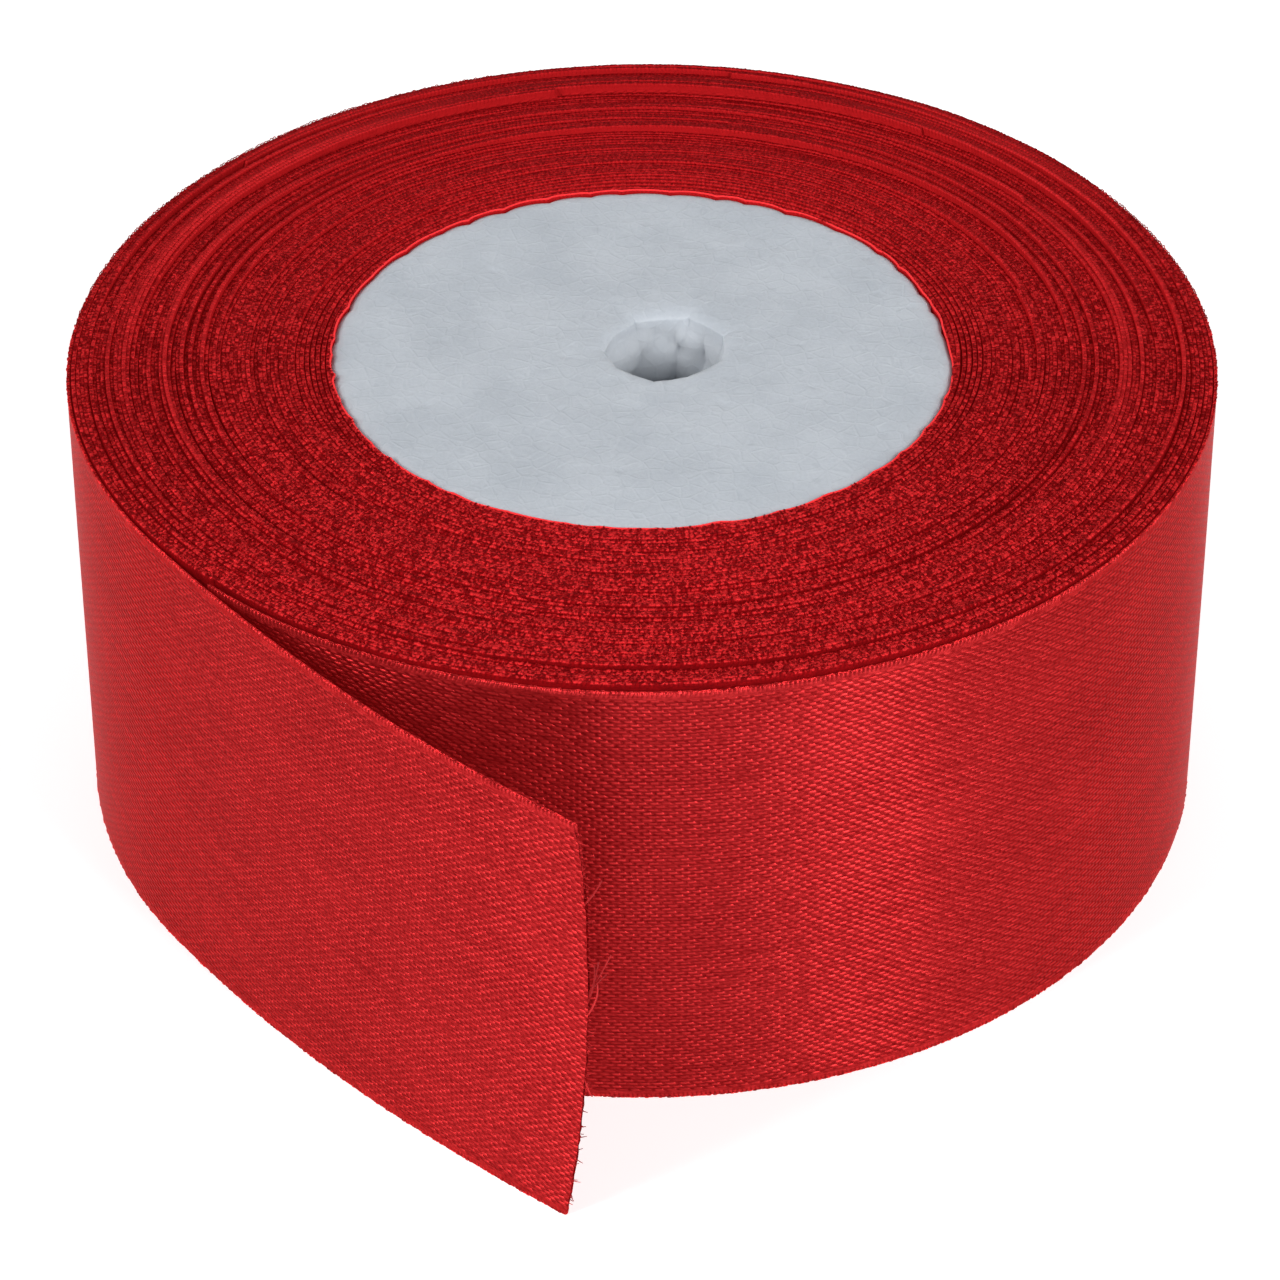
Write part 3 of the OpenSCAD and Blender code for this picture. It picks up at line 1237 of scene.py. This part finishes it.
    def top_relief(self, x: Array, y: Array) -> Array:
        """Height of the cut face over its own level: slow swells, a fine skin and small dents."""
        random = np.random.default_rng(227)
        radius, angle = np.hypot(x, y), np.arctan2(y, x)
        relief = ring_noise(radius / (2.1 * MM), angle, 17, 229) * 0.035 * MM
        relief = relief + ring_noise(radius / (0.55 * MM), angle, 61, 233) * 0.012 * MM
        for _ in range(self.dents):
            where = random.uniform(-1.0, 1.0, 2) * self.plan.core_radius
            size = random.uniform(0.15, 0.42) * MM
            depth = random.uniform(0.03, 0.09) * MM
            away = ((x - where[0]) ** 2 + (y - where[1]) ** 2) / size ** 2
            relief = relief - depth * np.exp(-away)
        return relief

    def build(self) -> None:
        plan = self.plan
        angle = np.arange(self.around) / self.around * 2.0 * math.pi
        rim, hollow = self.lobes(angle)
        hole = self.hole_edge(angle)
        direction = np.stack([np.cos(angle), np.sin(angle)], axis=-1)
        hole_plan = direction * hole[:, None]
        rim_plan = plan.centre + direction * rim[:, None]

        rings: list[Array] = []

        def ring(position: Array, level: Array) -> None:
            """Adds one ring of points."""
            rings.append(np.column_stack([position, np.broadcast_to(level, (self.around,))]))

        top, round_ = plan.core_height + self.proud, self.rim_round
        soft = 0.12 * MM + 0.25 * MM * np.exp(-(wrapped(angle - math.radians(85.0)) / 1.1) ** 2)
        # Up the hole's wall, out over the top, down the outer wall and in under the bottom.
        brim = top - soft - 0.04 * MM
        for share in np.linspace(0.0, 1.0, self.hole_rings):
            level = 0.12 * MM + share * (brim - 0.12 * MM)
            ease = smooth_step(0.0, 1.2 * MM, brim - level) * smooth_step(0.0, 1.2 * MM, level)
            bulge = self.torn_cells(angle, level) * ease
            smoothed = hole * (1.0 - ease) + plan.bore_radius * 1.06 * ease
            ring(direction * (smoothed - bulge * ease)[:, None], level)
        for share in np.linspace(0.0, 1.0, self.face_rings) ** 1.25:
            position = hole_plan * (1.0 - share) + rim_plan * share
            from_hole = np.linalg.norm(position - hole_plan, axis=1)
            from_rim = np.linalg.norm(position - rim_plan, axis=1)
            level = top + self.top_relief(position[:, 0], position[:, 1])
            level = level - soft * np.exp(-from_hole / (soft * 1.2))
            level = level - round_ * np.exp(-from_rim / round_) * (1.0 + 0.8 * hollow)
            ring(position, level)
        for share in np.linspace(0.03, 0.97, self.side_rings):
            ring(rim_plan, (top - 0.5 * MM) * (1.0 - share) + 0.3 * MM * share)
        for share in np.linspace(1.0, 0.0, self.foot_rings):
            position = hole_plan * (1.0 - share) + rim_plan * share
            from_rim = np.linalg.norm(position - rim_plan, axis=1)
            relief = np.abs(self.top_relief(position[:, 0] * 0.93, -position[:, 1]))
            ring(position, relief + 0.2 * MM * np.exp(-from_rim / (0.2 * MM)))
        points = np.stack(rings)
        shell = Shell()
        first = shell.add_points(points)
        count = len(rings)
        faces = grid_faces(count, self.around, first, closed=True)
        bridge = grid_faces(2, self.around, 0, closed=True)
        last = (count - 1) * self.around
        bridge = np.where(bridge < self.around, bridge + last, bridge - self.around) + first
        faces = np.concatenate([faces, bridge])
        shell.add_faces(faces[:, ::-1], np.zeros(faces.shape + (2,)))
        piece = shell.make("foam_disc", self.finish)
        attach(piece, "roll")
        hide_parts("foam_core")
        LOG.info("%s: %d rings", piece.name, count)


# ---------------------------------------------------------------- the stage

@dataclass(frozen=True)
class SoftBox:
    """A soft studio light: where it stands round the roll, its size and its power in watts."""

    name: str
    azimuth: float
    elevation: float
    distance: float
    wide: float
    tall: float
    power: float


SOFT_BOXES = (
    SoftBox("overhead", -100.0, 80.0, 0.70, 0.60, 0.60, 0.50),
    SoftBox("right_front", -46.0, 28.0, 0.60, 0.20, 0.45, 3.1),
    SoftBox("left_front", -146.0, 28.0, 0.60, 0.20, 0.45, 2.9),
    SoftBox("behind", 88.0, 28.0, 0.70, 1.00, 0.36, 1.3),
)


@dataclass
class Stage:
    """The floor, the light and the camera."""

    plan: RollPlan
    camera_distance: float = 279.0 * MM
    camera_elevation: float = math.radians(36.02)
    aim_side: float = -0.117 * MM
    aim_height: float = 6.747 * MM
    lens: float = 144.3
    world_strength: float = 0.09

    def aim(self) -> Vector:
        """The point that the camera looks at."""
        return Vector((self.plan.centre[0] + self.aim_side, self.plan.centre[1], self.aim_height))

    def build_camera(self) -> None:
        """Places the camera in front of the roll, looking down at it."""
        data = bpy.data.cameras.new("camera")
        data.lens = self.lens
        data.sensor_width = 36.0
        data.clip_start = 0.01
        camera = bpy.data.objects.new("camera", data)
        back = Vector((0.0, -math.cos(self.camera_elevation), math.sin(self.camera_elevation)))
        camera.location = self.aim() + back * self.camera_distance
        camera.rotation_euler = (math.pi / 2.0 - self.camera_elevation, 0.0, 0.0)
        bpy.context.scene.collection.objects.link(camera)
        bpy.context.scene.camera = camera

    def build_floor(self) -> None:
        """Lays a plain pale table under the roll."""
        side = 1.5
        mesh = bpy.data.meshes.new("table")
        corners = [(-side, -side, 0.0), (side, -side, 0.0), (side, side, 0.0), (-side, side, 0.0)]
        mesh.from_pydata(corners, [], [(0, 1, 2, 3)])
        floor = bpy.data.objects.new("table", mesh)
        bpy.context.scene.collection.objects.link(floor)
        floor.data.materials.append(FloorFinish().material())

    def build_lights(self) -> None:
        """Hangs the soft boxes round the roll, each facing it, and sets the pale surroundings."""
        target = Vector((self.plan.centre[0], self.plan.centre[1], self.plan.width / 2.0))
        for box in SOFT_BOXES:
            data = bpy.data.lights.new(box.name, "AREA")
            data.shape = "RECTANGLE"
            data.size, data.size_y = box.wide, box.tall
            data.energy = box.power
            light = bpy.data.objects.new(box.name, data)
            azimuth, elevation = math.radians(box.azimuth), math.radians(box.elevation)
            level = math.cos(elevation)
            toward = Vector((level * math.cos(azimuth), level * math.sin(azimuth), math.sin(elevation)))
            light.location = target + toward * box.distance
            light.rotation_euler = (-toward).to_track_quat("-Z", "Y").to_euler()
            bpy.context.scene.collection.objects.link(light)
        world = bpy.data.worlds.new("pale_room")
        world.use_nodes = True
        background = world.node_tree.nodes["Background"]
        background.inputs[0].default_value = (1.0, 1.0, 1.0, 1.0)
        background.inputs[1].default_value = self.world_strength
        bpy.context.scene.world = world
        bpy.context.scene.view_settings.view_transform = "Standard"

    def build(self) -> None:
        """Builds the whole stage."""
        self.build_camera()
        self.build_floor()
        self.build_lights()


# ---------------------------------------------------------------- the whole object


def main() -> None:
    logging.basicConfig(level=logging.INFO, format="%(message)s")
    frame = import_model()
    plan = RollPlan.from_frame(frame)
    Stage(plan).build()
    # The laps' glint colour is a painted highlight, and every satin has a faint painted glow.
    laps = SatinFinish("satin_wound", plan.width, face=(0.30, 0.004, 0.006),
                       shade=(0.085, 0.002, 0.003), painted_glint=(0.76, 0.028, 0.032), roughness=0.50,
                       metal=0.25, stretch=0.0, grain=1.0, gloss=0.03).material()
    face = SatinFinish("satin_face", plan.width).material()
    thread = SatinFinish("satin_thread", plan.width, roughness=0.50, metal=0.15, stretch=0.0,
                         gloss=0.1).material()

    foam = FoamDisc(plan, FoamFinish("foam_white", plan.core_height).material())
    foam.build()
    tape = frame["nodes"]["start_tape"]
    tape.data.materials.clear()
    tape.data.materials.append(TapeFinish().material())
    # The cord is painted bright all over, a painted highlight round the foam.
    cord = SatinFinish("satin_cord_painted_highlight", plan.width, face=(0.98, 0.045, 0.050), shade=(0.90, 0.030, 0.034),
                       roughness=0.60, metal=0.0, stretch=0.0, gloss=0.1).material()
    Windings(plan, laps, cord, lambda angle: foam.lobes(angle)[0]).build()
    FreeRibbon(plan, face, thread).build()


if __name__ == "__main__":
    main()
